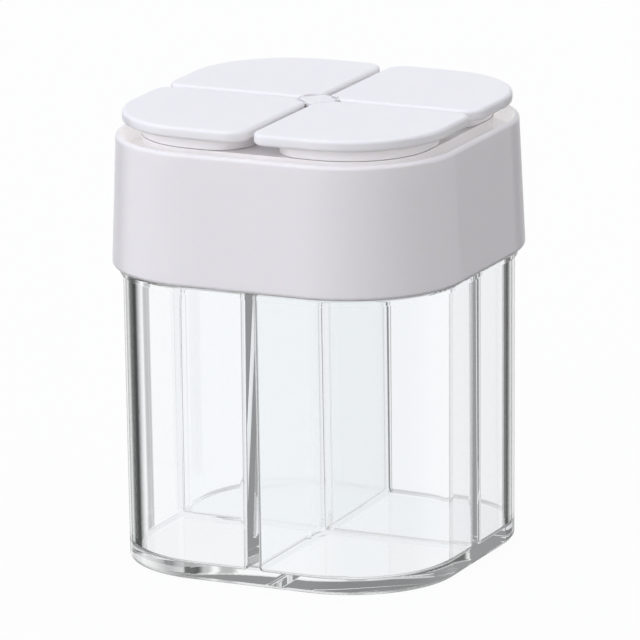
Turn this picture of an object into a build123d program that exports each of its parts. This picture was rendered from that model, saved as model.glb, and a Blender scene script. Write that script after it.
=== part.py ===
from build123d import *
import os
from math import atan, degrees, radians, sqrt, tan

# Spice shaker: a clear jar with four compartments under a white cap with four flip lids.
# Millimetres, Z up. The origin is the middle of the flat base, X runs along the front.

# Jar outside
BASE_HALF = 37.45        # half width at the base
BASE_CORNER = 23.4       # plan radius of the corners at the base
BASE_EDGE = 0.8          # rounding where the walls meet the underside
BODY_DRAFT = 0.4         # degrees, the walls lean out upwards
LEDGE_Z = 63.65          # underside of the ledge below the cap
LEDGE_TOP = 65.15
LEDGE_OUT = 0.6          # how far the ledge stands out from the wall
LEDGE_EDGE = 0.6         # rounding of the ledge
JAR_TOP = 87.4           # top of the neck and of the dividers, inside the cap

# Jar inside
FLOOR = 3.0              # thickness of the floor
FLOOR_EDGE = 1.0         # rounding between the floor and the walls
DIVIDER_TOP = 1.5        # thickness of the dividers at their top
INSIDE_HALF = 35.5       # half width inside the walls, at the top
INSIDE_CORNER = 21.5     # plan radius of the big outer corners inside
DIVIDER_CORNER = 1.8     # plan radius where dividers meet the walls and each other
INSIDE_DRAFT = 0.4       # degrees, the compartments narrow downwards

# Cap outside
CAP_Z = 65.3             # bottom edge
CAP_TOP = 94.25          # top of the rim
CAP_HALF = 40.0          # half width at the bottom edge
CAP_CORNER = 25.5
CAP_TOP_HALF = 38.8
CAP_WALL = 1.9
CAP_BOTTOM_EDGE = 0.9    # rounding of the outer bottom edge
CAP_TOP_EDGE = 0.9       # rounding of the outer edge of the rim
CAP_INNER_EDGE = 0.2     # rounding of the inner edge of the rim

# Sunken deck
DECK_TOP = 90.6
DECK_UNDER = 88.4
RECESS_HALF = 37.7       # half width of the recess at the rim
RECESS_CORNER = 23.2
RECESS_DRAFT = 12.5      # degrees, the recess's walls lean out upwards

# Neck of the jar and its friction ribs
NECK_GAP = 0.45          # from the neck to the inside of the cap
GRIP_GAP = 0.05          # from the friction ribs to the inside of the cap
GRIP_X = 9.0             # each side has two ribs, this far from the middle
GRIP_WIDTH = 2.0
GRIP_BOTTOM = 67.0
GRIP_TOP = 83.0

# Gasket under the deck, and the ribs that run through it into the compartments
GASKET_HALF = 36.4
GASKET_CORNER = 21.9
RIB_GAP = 0.35           # from a rib to the walls of its compartment
RIB_WALL = 1.0
RIB_BOTTOM = 85.2
WINDOW_GAP = 0.1         # from a rib to the edge of its window in the gasket

# Lids
LID_TOP = 99.55
PLATE_THICK = 2.5
SLOT_HALF = 0.9          # half of the slot between two lids
LID_HALF = 37.2          # half width over the lids
LID_CORNER = 22.2        # plan radius of the big outer corner
LID_SLOT_CORNER = 4.0    # plan radius at the outer ends of the slots
LID_HUB_CORNER = 1.0     # beside the hub, where the hinge cut takes it away
LID_EDGE_TOP = 0.8       # roundings of the plate
LID_EDGE_UNDER = 0.7

# Skirt under each plate, and the platform that the four skirts stand on
SKIRT_INNER = 3.3        # from the middle plane of a slot to the skirt
SKIRT_HALF = 32.9
SKIRT_CORNER = 17.8
SKIRT_SLOT_CORNER = 8.0
SKIRT_HUB_CORNER = 4.0
COLLAR_TOP = 94.1
COLLAR_OUT = 0.2         # how far the platform stands out from the skirts above it
COLLAR_WALL = 1.6        # from the platform's outside to a well
PARTING_GAP = 0.12       # between a closed lid and the platform

# Plug ring under each lid, which closes the well from inside
PLUG_GAP_TOP = 0.12      # to the wall of the well, at the parting line
PLUG_GAP_BOTTOM = 0.65   # the ring tapers, because it swings outwards as the lid rises
PLUG_DEPTH = 2.1
PLUG_WALL = 1.1

# Shaker holes in the deck, one ring round a middle hole in each well
HOLE_DIAMETER = 3.0
HOLE_RING = 6.5
HOLES_IN_RING = 6
WELL_MIDDLE = 17.2       # middle of a compartment, from both middle planes

# Hub, a thin eight-sided head on a square stem that is turned by 45 degrees
HUB_TOP = 99.4
HUB_HEAD_THICK = 0.75
HUB_SIDE = 3.4           # from the middle to the sides that face the lids
HUB_TIP = 4.1            # from the middle to the flats that face the slots
HUB_STEM = 2.4
HUB_EDGE = 0.15
SOCKET_BOTTOM = 89.4
SOCKET_GAP = 0.05
SOCKET_WALL = 1.3

# Film straps between the hub and the lids
LID_NEAR = 4.2           # from the middle to a lid's cut inner corner
NOTCH_HALF = 1.4         # half length of the hollow between a lid's two straps
NOTCH_DEPTH = 0.45
HINGE_CUT_REACH = 8.0    # how far the cut's block reaches, past the hub's middle
STRAP_TOP = 99.3
STRAP_THICK = 0.35
STRAP_START = 1.6        # along the cut corner, from the lid's diagonal
STRAP_END = 2.35

# Cutting past a face
PAST = 1.0

CAP_DRAFT = degrees(atan((CAP_HALF - CAP_TOP_HALF) / (CAP_TOP - CAP_Z)))
PLATE_UNDER = LID_TOP - PLATE_THICK
# the deck fills the foot of the recess
DECK_HALF = RECESS_HALF - (CAP_TOP - DECK_TOP) * tan(radians(RECESS_DRAFT))
DECK_CORNER = RECESS_CORNER - RECESS_HALF + DECK_HALF
SKIRT_BOTTOM = COLLAR_TOP + PARTING_GAP
QUADRANTS = {"back_right": 0, "back_left": 90, "front_left": 180, "front_right": 270}


def square(half, corner, z):
    """A square with round corners, centred on the Z axis at height z."""
    return Pos(0, 0, z) * RectangleRounded(2 * half, 2 * half, corner)


def quarter(inner, outer, big_corner, slot_corner, hub_corner, z):
    """The outline of one compartment or lid, in the quarter where X and Y are positive."""
    middle = (inner + outer) / 2
    side = outer - inner
    face = Pos(middle, middle) * Rectangle(side, side)
    corners = (
        ((outer, outer), big_corner),
        ((outer, inner), slot_corner),
        ((inner, outer), slot_corner),
        ((inner, inner), hub_corner),
    )
    for (x, y), radius in corners:
        vertex = face.vertices().sort_by_distance((x, y, 0))[0]
        face = fillet(vertex, radius)
    return Pos(0, 0, z) * face


def inset(outline, amount):
    """The sizes of a quarter outline, moved inwards all round."""
    inner, outer, *corners = outline
    return (inner + amount, outer - amount, *[corner - amount for corner in corners])


def four(shape):
    """A shape in the first quarter, repeated in all four."""
    return [Rot(0, 0, angle) * shape for angle in QUADRANTS.values()]


def edges_at(shape, z):
    """The edges that lie flat at height z."""
    return shape.edges().filter_by_position(Axis.Z, z - 0.01, z + 0.01)


def compartment_outline():
    return (DIVIDER_TOP / 2, INSIDE_HALF, INSIDE_CORNER, DIVIDER_CORNER, DIVIDER_CORNER)


def skirt_outline():
    return (SKIRT_INNER, SKIRT_HALF, SKIRT_CORNER, SKIRT_SLOT_CORNER, SKIRT_HUB_CORNER)


def compartment():
    """The space of one compartment, narrower downwards and rounded at its floor."""
    face = quarter(*compartment_outline(), JAR_TOP)
    space = extrude(face, amount=-(JAR_TOP - FLOOR), taper=INSIDE_DRAFT)
    return fillet(edges_at(space, FLOOR), FLOOR_EDGE)


def neck(gap):
    """A solid that fills the cap's skirt, but for a gap."""
    half = CAP_HALF - CAP_WALL - gap
    corner = CAP_CORNER - CAP_WALL - gap
    solid = extrude(square(half, corner, CAP_Z), amount=JAR_TOP - CAP_Z, taper=CAP_DRAFT)
    # the stretch between the ledge and the cap's bottom edge is straight
    return solid + extrude(square(half, corner, LEDGE_TOP), amount=CAP_Z - LEDGE_TOP)


def grips():
    """Two upright friction ribs on each side of the neck."""
    height = GRIP_TOP - GRIP_BOTTOM
    posts = []
    for x in (-GRIP_X, GRIP_X):
        post = Pos(x, 0, GRIP_BOTTOM + height / 2) * Box(GRIP_WIDTH, 2 * CAP_HALF, height)
        posts += [post, Rot(0, 0, 90) * post]
    ribs = neck(GRIP_GAP) & (posts[0] + posts[1:])
    return ribs


def jar():
    """The clear moulding: body, ledge, neck and the cross of dividers."""
    body = extrude(square(BASE_HALF, BASE_CORNER, 0), amount=LEDGE_Z, taper=-BODY_DRAFT)
    body = fillet(edges_at(body, 0), BASE_EDGE)
    ledge_half = BASE_HALF + LEDGE_Z * tan(radians(BODY_DRAFT)) + LEDGE_OUT
    ledge_corner = BASE_CORNER + ledge_half - BASE_HALF
    ledge = extrude(square(ledge_half, ledge_corner, LEDGE_Z), amount=LEDGE_TOP - LEDGE_Z)
    ledge = fillet(edges_at(ledge, LEDGE_TOP), LEDGE_EDGE)
    outside = body + ledge + neck(NECK_GAP) + grips()
    return outside - four(compartment())


def sifter_holes():
    """The shaker holes of one compartment, through the deck."""
    height = DECK_TOP - DECK_UNDER + 2 * PAST
    drill = Cylinder(HOLE_DIAMETER / 2, height)
    middle = Pos(WELL_MIDDLE, WELL_MIDDLE, (DECK_TOP + DECK_UNDER) / 2)
    ring = PolarLocations(HOLE_RING, HOLES_IN_RING)
    return [middle * drill] + [middle * place * drill for place in ring]


def well_outline():
    return inset(skirt_outline(), COLLAR_WALL - COLLAR_OUT)


def collar():
    """One quarter of the platform on the deck, with the well that a lid closes."""
    height = COLLAR_TOP - DECK_TOP
    half = SKIRT_HALF + COLLAR_OUT
    platform = extrude(square(half, SKIRT_CORNER + COLLAR_OUT, DECK_TOP), amount=height)
    platform &= Pos(half / 2, half / 2, DECK_TOP + height / 2) * Box(half, half, height)
    well = extrude(quarter(*well_outline(), DECK_TOP), amount=height)
    return platform - well - socket_post()


def rib_outline():
    return inset(compartment_outline(), RIB_GAP)


def rib():
    """The thin wall under the deck that reaches into the top of one compartment."""
    height = DECK_UNDER - RIB_BOTTOM
    outside = extrude(quarter(*rib_outline(), RIB_BOTTOM), amount=height)
    inside = extrude(quarter(*inset(rib_outline(), RIB_WALL), RIB_BOTTOM), amount=height)
    return outside - inside


def diamond(half, bottom, top):
    """A square post on the Z axis, turned so that its flats face the lids."""
    height = top - bottom
    return Pos(0, 0, bottom + height / 2) * Rot(0, 0, 45) * Box(2 * half, 2 * half, height)


def cap():
    """The white shell: skirt and rim, open where the deck closes it."""
    shell = extrude(square(CAP_HALF, CAP_CORNER, CAP_Z), amount=CAP_TOP - CAP_Z, taper=CAP_DRAFT)
    shell = fillet(edges_at(shell, CAP_Z), CAP_BOTTOM_EDGE)
    shell = fillet(edges_at(shell, CAP_TOP), CAP_TOP_EDGE)
    inside = square(CAP_HALF - CAP_WALL, CAP_CORNER - CAP_WALL, CAP_Z)
    shell -= extrude(inside, amount=DECK_UNDER - CAP_Z, taper=CAP_DRAFT)
    recess = square(RECESS_HALF, RECESS_CORNER, CAP_TOP)
    shell -= extrude(recess, amount=-(CAP_TOP - DECK_TOP), taper=RECESS_DRAFT)
    shell = fillet(rim_inner_edges(shell), CAP_INNER_EDGE)
    return shell - deck_plate()


def rim_inner_edges(shell):
    """The edges where the rim's top turns down to the deck."""
    faces = shell.faces().filter_by(Plane.XY).sort_by(Axis.Z)
    return faces[-1].inner_wires()[0].edges()


def deck_plate():
    return extrude(square(DECK_HALF, DECK_CORNER, DECK_UNDER), amount=DECK_TOP - DECK_UNDER)


def socket_pocket():
    return diamond(HUB_STEM + SOCKET_GAP, SOCKET_BOTTOM, COLLAR_TOP + PAST)


def socket_post():
    return diamond(HUB_STEM + SOCKET_GAP + SOCKET_WALL, DECK_TOP, COLLAR_TOP)


def deck():
    """The sunken deck, with the shaker holes and the bottom of the hub's pocket."""
    plate = deck_plate() - socket_pocket()
    for hole in sifter_holes():
        plate -= four(hole)
    return plate


def socket():
    """The square post in the middle of the platform that holds the hub's stem."""
    return socket_post() - socket_pocket()


def gasket():
    """A flat gasket with a window over each compartment."""
    height = DECK_UNDER - JAR_TOP
    plate = extrude(square(GASKET_HALF, GASKET_CORNER, JAR_TOP), amount=height)
    window = quarter(*inset(rib_outline(), -WINDOW_GAP), JAR_TOP)
    return plate - four(extrude(window, amount=height))


def along_diagonal(distance, offset, z):
    """A point in the first quarter, by its distance from the middle and its offset sideways."""
    return ((distance - offset) / sqrt(2), (distance + offset) / sqrt(2), z)


def hinge_cutter():
    """What is cut from a lid's inner corner: a straight cut with a shallow hollow."""
    height = PLATE_THICK + 2 * PAST
    reach = HINGE_CUT_REACH
    block = Box(reach, 2 * reach, height, align=(Align.MAX, Align.CENTER, Align.CENTER))
    # a circle through the hollow's two ends and its deepest point
    radius = (NOTCH_HALF**2 + NOTCH_DEPTH**2) / (2 * NOTCH_DEPTH)
    hollow = Pos(NOTCH_DEPTH - radius, 0, 0) * Cylinder(radius, height)
    cutter = block + hollow
    return Rot(0, 0, 45) * Pos(LID_NEAR, 0, LID_TOP - PLATE_THICK / 2) * cutter


def lid():
    """One flip lid, in the first quarter: plate, skirt and plug ring."""
    outline = (SLOT_HALF, LID_HALF, LID_CORNER, LID_SLOT_CORNER, LID_HUB_CORNER)
    plate = extrude(quarter(*outline, PLATE_UNDER), amount=PLATE_THICK)
    plate = fillet(edges_at(plate, LID_TOP), LID_EDGE_TOP)
    plate = fillet(edges_at(plate, PLATE_UNDER), LID_EDGE_UNDER)
    plate -= hinge_cutter()
    skirt = extrude(quarter(*skirt_outline(), SKIRT_BOTTOM), amount=PLATE_UNDER - SKIRT_BOTTOM)
    plug_top = inset(well_outline(), PLUG_GAP_TOP)
    taper = degrees(atan((PLUG_GAP_BOTTOM - PLUG_GAP_TOP) / PLUG_DEPTH))
    plug = extrude(quarter(*plug_top, SKIRT_BOTTOM), amount=-PLUG_DEPTH, taper=taper)
    hollow = inset(plug_top, PLUG_GAP_BOTTOM - PLUG_GAP_TOP + PLUG_WALL)
    depth = PLATE_UNDER - SKIRT_BOTTOM + PLUG_DEPTH
    space = extrude(quarter(*hollow, SKIRT_BOTTOM - PLUG_DEPTH), amount=depth)
    return plate + (skirt + plug - space)


def hub():
    """The post in the middle that carries the four lids."""
    head = diamond(HUB_SIDE, HUB_TOP - HUB_HEAD_THICK, HUB_TOP)
    # square with the slots, this takes the head's four points off
    head &= Pos(0, 0, HUB_TOP) * Box(2 * HUB_TIP, 2 * HUB_TIP, 2 * HUB_HEAD_THICK + PAST)
    head = fillet(edges_at(head, HUB_TOP), HUB_EDGE)
    return head + diamond(HUB_STEM, SOCKET_BOTTOM, HUB_TOP - HUB_HEAD_THICK)


def straps():
    """The two film straps of one lid."""
    width = STRAP_END - STRAP_START
    length = LID_NEAR - HUB_SIDE
    pair = []
    for side in (-1, 1):
        offset = side * (STRAP_START + width / 2)
        middle = along_diagonal((HUB_SIDE + LID_NEAR) / 2, offset, STRAP_TOP - STRAP_THICK / 2)
        pair.append(Pos(*middle) * Rot(0, 0, 45) * Box(length, width, STRAP_THICK))
    return pair


def write(name, shape):
    """Write one piece under its name."""
    shape.label = name
    export_step(shape, f"parts/{name}.step")


os.makedirs("parts", exist_ok=True)
write("jar", jar())
write("cap", cap())
write("deck", deck())
write("socket", socket())
write("gasket", gasket())
write("hub", hub())
for corner, angle in QUADRANTS.items():
    turn = Rot(0, 0, angle)
    write(f"collar_{corner}", turn * collar())
    write(f"rib_{corner}", turn * rib())
    write(f"lid_{corner}", turn * lid())
    write(f"hinge_{corner}", Compound([turn * strap for strap in straps()]))
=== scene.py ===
from math import cos, radians, sin

import bpy
from mathutils import Matrix, Vector


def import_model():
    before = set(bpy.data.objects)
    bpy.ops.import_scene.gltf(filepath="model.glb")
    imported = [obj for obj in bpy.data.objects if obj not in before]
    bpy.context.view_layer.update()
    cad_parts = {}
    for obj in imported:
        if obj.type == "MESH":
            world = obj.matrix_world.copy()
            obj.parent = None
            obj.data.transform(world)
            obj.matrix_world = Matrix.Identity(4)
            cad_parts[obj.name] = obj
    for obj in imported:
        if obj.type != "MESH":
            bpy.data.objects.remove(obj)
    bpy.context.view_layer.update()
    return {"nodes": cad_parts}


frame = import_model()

# A white and clear spice shaker on a plain white floor, in soft studio light. Metres.

# Camera, as fitted to the photograph
AZIMUTH = radians(25.12)
ELEVATION = radians(14.22)
ROLL = radians(-0.68)
DISTANCE = 1.6498
AIM_RIGHT = -0.00012
AIM_UP = 0.0002
AIM_HEIGHT = 0.050
FOCAL_PIXELS = 7596.9
FRAME_PIXELS = 640
SENSOR_WIDTH = 36.0
CLIP_START = 0.01

# Light that the surroundings give to the object: an even part, and soft patches, each with
# its azimuth from the front, elevation and exponent, and its colour and strength in one
EVEN_LIGHT = (0.45, 0.47, 0.52)
PATCHES = (
    (0, 90, 12, (0.42, 0.43, 0.48)),
    (-30, 35, 6, (0.80, 0.83, 0.92)),
    (-15, 8, 12, (1.33, 1.32, 1.40)),
    (-50, 8, 12, (1.12, 1.12, 1.21)),
    (20, 8, 12, (1.24, 1.21, 1.22)),
    (-90, 25, 4, (0.40, 0.39, 0.40)),
    (90, 15, 4, (0.35, 0.33, 0.32)),
    (180, 30, 3, (0.40, 0.40, 0.42)),
)

# White plastic
TONE_SCALE = 25          # cells per metre of the faint change in tone
WHITE_TONES = ((0.935, 0.905, 0.895), (0.94, 0.91, 0.90))
RECESS_TONES = ((0.935, 0.895, 0.885), (0.94, 0.90, 0.89))
LID_TONES = ((0.935, 0.912, 0.908), (0.94, 0.917, 0.913))
CAP_ROUGHNESS = 0.28
LID_ROUGHNESS = 0.30
WHITE_IOR = 1.47
DEEP_SHARE = 0.2         # share of the light that spreads below the surface
DEEP = 0.003             # how far it spreads, with a factor for each colour
DEEP_BY_COLOUR = (1.0, 0.85, 0.65)
THIN = 0.35              # share of the light that gets through the cap's thin white walls
LID_THIN = 0.05          # the same for the lids
PAINTED_RECESS_LIGHT = 0.23              # painted light: a glow on the recess's walls, standing in for light from outside
PAINTED_LIGHT_UP = 0.4            # the same painted light on faces that look up, as a share
PAINTED_LIGHT_COLOUR = (0.96, 1, 1, 1)

# Clear plastic
CLEAR_IOR = 1.49
CLEAR_TONES = ((0.984, 0.9925, 0.998), (0.986, 0.9935, 0.999))
LONG_PATH = (4.8, 8.2)   # turns of a path in the jar between which it becomes a long one
# painted light: the even pale grey that paths which have turned many times in the jar glow with
PAINTED_LONG_PATH_LIGHT = (0.88, 0.90, 0.91, 1)

# Silicone
SILICONE_COLOUR = (0.78, 0.80, 0.81, 1)
SILICONE_IOR = 1.41
SILICONE_CLEAR = 0.35    # share of the light that passes
SILICONE_ROUGHNESS = (0.42, 0.55)
MOTTLE_SCALE = 700       # cells per metre of the change in gloss, and of the grain
GRAIN_SCALE = 1500
GRAIN_HEIGHT = 0.00003
GRAIN_STRENGTH = 0.3
NOISE_RANGE = (0.3, 0.7)  # where nearly all values of the noise lie

# Floor and background
FLOOR_HALF = 6.0
FLOOR_BELOW = 0.00002    # how far the floor is below the flat base
FLOOR_COLOUR = (0.8, 0.8, 0.8, 1)
FLOOR_WHITE = 1.0
FLOOR_OWN = 0.95         # the share of the floor's white that no shadow takes
FLOOR_GIVES = (0.12, 0.12, 0.12, 1)
PURE_WHITE = (1, 1, 1, 1)

# What gloss and clear plastic show: a white room with dark flags in it, each with its azimuth
# from the front, half widths at the edge and of the core, in degrees, and what light is left
SURROUNDINGS = 0.97
FLAGS = (
    (246, 19, 9, 0.06),
    (219, 4, 1.5, 0.45),
    (166, 12, 5, 0.08),
    (176, 7, 3, 0.55),
    (188, 4, 1, 0.5),
)
# Changes by height: the sine of the elevation where each starts and ends, and its factor
HEIGHTS = (
    (-0.32, -0.55, 0.60),
    (-0.62, -0.80, 1.60),
    (-0.05, 0.10, 0.80),
)
# Where the flags become paler, in the same way, and by which share
PALER = (-0.15, 0.02)
PALER_SHARE = 0.55
# A flag that only gloss on white plastic shows
GLOSS_FLAG = (45, 75, 25, 0.10)


class Nodes:
    """Builds the node tree of one material."""

    def __init__(self, name):
        self.material = bpy.data.materials.new(name)
        self.material.use_nodes = True
        self.tree = self.material.node_tree
        self.tree.nodes.clear()
        self.output = self.tree.nodes.new("ShaderNodeOutputMaterial")

    @classmethod
    def of_tree(cls, tree, output):
        """The same for a tree that isn't that of a material."""
        n = cls.__new__(cls)
        n.tree = tree
        tree.nodes.clear()
        n.output = tree.nodes.new(output)
        return n

    def add(self, kind, **settings):
        node = self.tree.nodes.new(kind)
        for key, value in settings.items():
            setattr(node, key, value)
        return node

    def link(self, a, b):
        self.tree.links.new(a, b)

    def fill(self, socket, value):
        """Gives a socket a number or vector, or links it to another socket."""
        if isinstance(value, (int, float, tuple)):
            socket.default_value = value
        else:
            self.link(value, socket)

    def math(self, operation, a, b):
        """The result of one sum; a and b are numbers or sockets."""
        node = self.add("ShaderNodeMath", operation=operation)
        self.fill(node.inputs[0], a)
        self.fill(node.inputs[1], b)
        return node.outputs[0]

    def cosine(self, angle):
        node = self.add("ShaderNodeMath", operation="COSINE")
        self.link(angle, node.inputs[0])
        return node.outputs[0]

    def vector(self, operation, a, b):
        """The vector result of one sum; a and b are vectors or sockets."""
        node = self.add("ShaderNodeVectorMath", operation=operation)
        self.fill(node.inputs[0], a)
        self.fill(node.inputs[1], b)
        return node.outputs["Vector"]

    def unit(self, value):
        node = self.add("ShaderNodeVectorMath", operation="NORMALIZE")
        self.link(value, node.inputs[0])
        return node.outputs["Vector"]

    def facing(self, a, b):
        """How far one direction goes along another, from 0."""
        node = self.add("ShaderNodeVectorMath", operation="DOT_PRODUCT")
        self.fill(node.inputs[0], a)
        self.fill(node.inputs[1], b)
        return self.math("MAXIMUM", node.outputs["Value"], 0.0)

    def scaled(self, vector, share):
        node = self.add("ShaderNodeVectorMath", operation="SCALE")
        node.inputs[0].default_value = vector
        self.link(share, node.inputs["Scale"])
        return node.outputs["Vector"]

    def principled(self, **sockets):
        shader = self.add("ShaderNodeBsdfPrincipled")
        for key, value in sockets.items():
            shader.inputs[key.replace("_", " ")].default_value = value
        return shader

    def emission(self, colour):
        node = self.add("ShaderNodeEmission")
        node.inputs["Color"].default_value = colour
        return node.outputs[0]

    def transparent(self):
        return self.add("ShaderNodeBsdfTransparent").outputs[0]

    def light_paths(self):
        return self.add("ShaderNodeLightPath").outputs

    def noise(self, scale, detail):
        """Noise in the piece's own coordinates; scale is in cells per metre."""
        if not hasattr(self, "coordinates"):
            self.coordinates = self.add("ShaderNodeTexCoord").outputs["Object"]
        node = self.add("ShaderNodeTexNoise")
        node.inputs["Scale"].default_value = scale
        node.inputs["Detail"].default_value = detail
        self.link(self.coordinates, node.inputs["Vector"])
        return node.outputs["Fac"]

    def uneven(self, dark, light):
        """A colour that changes slowly from place to place between two."""
        node = self.add("ShaderNodeMix", data_type="RGBA")
        colours = [socket for socket in node.inputs if socket.type == "RGBA"]
        colours[0].default_value = (*dark, 1)
        colours[1].default_value = (*light, 1)
        self.link(self.noise(TONE_SCALE, detail=1), node.inputs[0])
        return node.outputs[2]

    def mix(self, share, first, second):
        """The first shader, and a share of the second."""
        node = self.add("ShaderNodeMixShader")
        self.link(share, node.inputs[0])
        self.link(first, node.inputs[1])
        self.link(second, node.inputs[2])
        return node.outputs[0]

    def surface(self, shader):
        self.link(shader, self.output.inputs["Surface"])

    def spread(self, value, start, end, low, high, soft=False):
        """Low at start and high at end, in a straight line or as a soft step between."""
        node = self.add("ShaderNodeMapRange")
        if soft:
            node.interpolation_type = "SMOOTHSTEP"
        node.inputs["From Min"].default_value = start
        node.inputs["From Max"].default_value = end
        node.inputs["To Min"].default_value = low
        node.inputs["To Max"].default_value = high
        self.link(value, node.inputs["Value"])
        return node.outputs["Result"]

    def step(self, value, start, end, low, high):
        return self.spread(value, start, end, low, high, soft=True)

    def bump(self, value, distance, strength):
        node = self.add("ShaderNodeBump")
        node.inputs["Distance"].default_value = distance
        node.inputs["Strength"].default_value = strength
        self.link(value, node.inputs["Height"])
        return node.outputs["Normal"]


def moulded(name, tones, roughness, thin, painted_light=0.0):
    """Satin moulded plastic that lets a little light in, faintly uneven in tone.

    Thin is the share of the light that gets through to what it shades, and painted_light a
    painted glow on faces that look inwards or up, standing in for light that comes through a
    thin wall.
    """
    n = Nodes(name)
    shader = n.principled(IOR=WHITE_IOR, Roughness=roughness, Subsurface_Weight=DEEP_SHARE,
                          Subsurface_Scale=DEEP, Subsurface_Radius=DEEP_BY_COLOUR)
    n.link(n.uneven(*tones), shader.inputs["Base Color"])
    if painted_light:
        # painted light: faces that look inwards or up glow, standing in for light through the
        # thin wall
        place = n.add("ShaderNodeNewGeometry")
        inward = n.unit(n.vector("MULTIPLY", place.outputs["Position"], (-1, -1, 0)))
        painted_light_direction = n.vector("ADD", inward, (0, 0, PAINTED_LIGHT_UP))
        share = n.facing(painted_light_direction, place.outputs["Normal"])
        n.link(n.math("MULTIPLY", share, painted_light), shader.inputs["Emission Strength"])
        shader.inputs["Emission Color"].default_value = PAINTED_LIGHT_COLOUR
    passes = n.math("MULTIPLY", n.light_paths()["Is Shadow Ray"], thin)
    n.surface(n.mix(passes, shader.outputs["BSDF"], n.transparent()))
    return n.material


def clear(name):
    """Clear moulded plastic, faintly cold."""
    n = Nodes(name)
    shader = n.principled(IOR=CLEAR_IOR, Transmission_Weight=1.0, Roughness=0.0)
    n.link(n.uneven(*CLEAR_TONES), shader.inputs["Base Color"])
    # painted light: where a path has turned many times inside the plastic, it glows an even
    # pale grey
    share = n.step(n.light_paths()["Ray Depth"], *LONG_PATH, 0.0, 1.0)
    n.surface(n.mix(share, shader.outputs["BSDF"], n.emission(PAINTED_LONG_PATH_LIGHT)))
    return n.material


def silicone(name):
    """Milky silicone with a fine grain."""
    n = Nodes(name)
    shader = n.principled(IOR=SILICONE_IOR, Transmission_Weight=SILICONE_CLEAR,
                          Base_Color=SILICONE_COLOUR)
    mottle = n.noise(MOTTLE_SCALE, detail=3)
    n.link(n.spread(mottle, *NOISE_RANGE, *SILICONE_ROUGHNESS), shader.inputs["Roughness"])
    grain = n.noise(GRAIN_SCALE, detail=3)
    n.link(n.bump(grain, GRAIN_HEIGHT, GRAIN_STRENGTH), shader.inputs["Normal"])
    n.surface(shader.outputs["BSDF"])
    return n.material


def dress():
    """Gives each node of the frame its material."""
    white = moulded("cap_white", WHITE_TONES, CAP_ROUGHNESS, THIN)
    # the cap's and the deck's white, with painted light on faces that look inwards or up
    recess_white_painted_light = moulded("recess_white_painted_light", RECESS_TONES, CAP_ROUGHNESS, THIN, PAINTED_RECESS_LIGHT)
    lid_white = moulded("lid_white", LID_TONES, LID_ROUGHNESS, LID_THIN)
    special = {
        "cap": recess_white_painted_light,
        "deck": recess_white_painted_light,
        "hub": lid_white,
        "jar": clear("jar_clear"),
        "gasket": silicone("gasket_silicone"),
    }
    for name, node in frame["nodes"].items():
        material = special.get(name, white)
        if name.startswith(("lid_", "hinge_")):
            material = lid_white
        node.data.materials.clear()
        node.data.materials.append(material)


def flag(n, turn, middle, edge, core, left):
    """What one dark flag leaves of the light, by the azimuth of the direction."""
    wave = n.cosine(n.math("SUBTRACT", turn, radians(middle)))
    return n.step(wave, cos(radians(edge)), cos(radians(core)), 1.0, left)


def surroundings(n, place, other):
    """How bright the surroundings are in gloss and clear plastic, by direction.

    Other is 1 for the rays that don't show the gloss flag, and 0 for those that do.
    """
    turn = n.math("ARCTAN2", place.outputs["X"], n.math("MULTIPLY", place.outputs["Y"], -1.0))
    bright = SURROUNDINGS
    for one in FLAGS:
        bright = n.math("MULTIPLY", flag(n, turn, *one), bright)
    # the flags are paler above the horizon
    paler = n.step(place.outputs["Z"], *PALER, 0.0, PALER_SHARE)
    missing = n.math("SUBTRACT", SURROUNDINGS, bright)
    bright = n.math("ADD", bright, n.math("MULTIPLY", missing, paler))
    for start, end, factor in HEIGHTS:
        bright = n.math("MULTIPLY", n.step(place.outputs["Z"], start, end, 1.0, factor), bright)
    return n.math("MULTIPLY", bright, n.math("MAXIMUM", flag(n, turn, *GLOSS_FLAG), other))


def towards(azimuth, elevation):
    """The direction at an azimuth from the front and an elevation."""
    flat = cos(elevation)
    return (sin(azimuth) * flat, -cos(azimuth) * flat, sin(elevation))


def patches(n, direction):
    """The light from one direction, as the object's own surfaces get it."""
    total = n.add("ShaderNodeCombineXYZ")
    for value, socket in zip(EVEN_LIGHT, total.inputs):
        socket.default_value = value
    total = total.outputs[0]
    for azimuth, elevation, exponent, colour in PATCHES:
        axis = towards(radians(azimuth), radians(elevation))
        share = n.math("POWER", n.facing(direction, axis), float(exponent))
        total = n.vector("ADD", total, n.scaled(colour, share))
    return total


def floor():
    """A white floor that keeps the shadow: part of its white is its own, part is lit."""
    mesh = bpy.data.meshes.new("floor")
    turns = ((-1, -1), (1, -1), (1, 1), (-1, 1))
    corners = [(FLOOR_HALF * x, FLOOR_HALF * y, -FLOOR_BELOW) for x, y in turns]
    mesh.from_pydata(corners, [], [(0, 1, 2, 3)])
    piece = bpy.data.objects.new("floor", mesh)
    bpy.context.scene.collection.objects.link(piece)
    n = Nodes("floor_white")
    lit = n.add("ShaderNodeBsdfDiffuse")
    lit.inputs["Color"].default_value = FLOOR_COLOUR
    own = n.add("ShaderNodeEmission")
    own.inputs["Strength"].default_value = FLOOR_WHITE
    paths = n.light_paths()
    own_share = n.math("MULTIPLY", paths["Is Camera Ray"], FLOOR_OWN)
    seen = n.mix(own_share, lit.outputs[0], own.outputs[0])
    # what the object's own surfaces get from the floor
    solid = n.mix(paths["Is Diffuse Ray"], seen, n.emission(FLOOR_GIVES))
    # gloss and clear plastic show the surroundings below the floor, which are as white
    direct = n.math("MAXIMUM", paths["Is Glossy Ray"], paths["Is Transmission Ray"])
    n.surface(n.mix(direct, solid, n.transparent()))
    mesh.materials.append(n.material)


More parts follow.
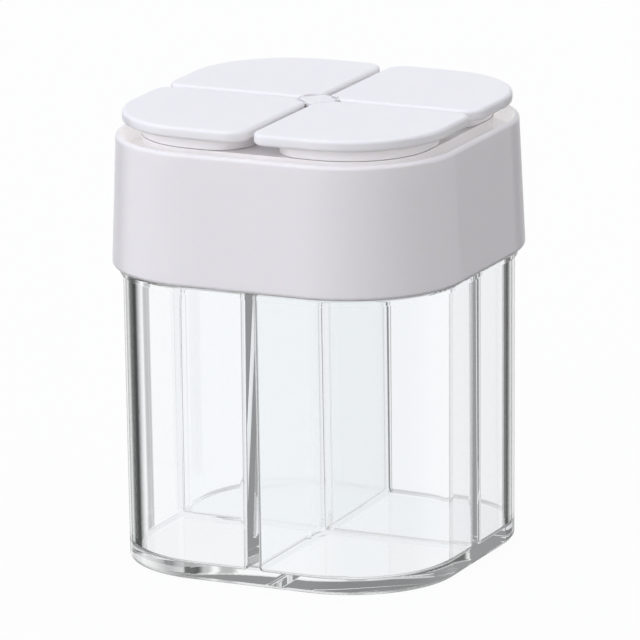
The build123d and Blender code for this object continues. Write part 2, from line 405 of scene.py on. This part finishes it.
def world():
    """White to the camera, the room to gloss and clear plastic, and soft light to the rest."""
    studio = bpy.data.worlds.new("studio")
    bpy.context.scene.world = studio
    studio.use_nodes = True
    n = Nodes.of_tree(studio.node_tree, "ShaderNodeOutputWorld")
    direction = n.add("ShaderNodeTexCoord").outputs["Generated"]
    place = n.add("ShaderNodeSeparateXYZ")
    n.link(direction, place.inputs[0])
    paths = n.light_paths()
    other = n.math("SUBTRACT", 1.0, paths["Is Glossy Ray"])
    other = n.math("MINIMUM", n.math("ADD", other, paths["Transmission Depth"]), 1.0)
    bright = n.math("MAXIMUM", surroundings(n, place, other), paths["Is Camera Ray"])
    white = n.add("ShaderNodeBackground")
    white.inputs["Color"].default_value = PURE_WHITE
    n.link(bright, white.inputs["Strength"])
    soft = n.add("ShaderNodeBackground")
    n.link(patches(n, direction), soft.inputs["Color"])
    direct = n.math("MAXIMUM", paths["Is Camera Ray"], paths["Is Glossy Ray"])
    direct = n.math("MAXIMUM", direct, paths["Is Transmission Ray"])
    n.surface(n.mix(direct, soft.outputs[0], white.outputs[0]))


def camera():
    """The camera of the photograph."""
    back = Vector(towards(AZIMUTH, ELEVATION))
    right = Vector((cos(AZIMUTH), sin(AZIMUTH), 0))
    up = back.cross(right)
    target = Vector((0, 0, AIM_HEIGHT)) + right * AIM_RIGHT + up * AIM_UP
    turned_right = right * cos(ROLL) + up * sin(ROLL)
    turned_up = up * cos(ROLL) - right * sin(ROLL)
    place = target + back * DISTANCE
    lens = bpy.data.cameras.new("camera")
    lens.sensor_width = SENSOR_WIDTH
    lens.lens = FOCAL_PIXELS * SENSOR_WIDTH / FRAME_PIXELS
    lens.clip_start = CLIP_START
    piece = bpy.data.objects.new("camera", lens)
    bpy.context.scene.collection.objects.link(piece)
    axes = Matrix((turned_right, turned_up, back)).transposed().to_4x4()
    piece.matrix_world = Matrix.Translation(place) @ axes
    bpy.context.scene.camera = piece


dress()
floor()
world()
camera()
bpy.context.scene.view_settings.view_transform = "Standard"
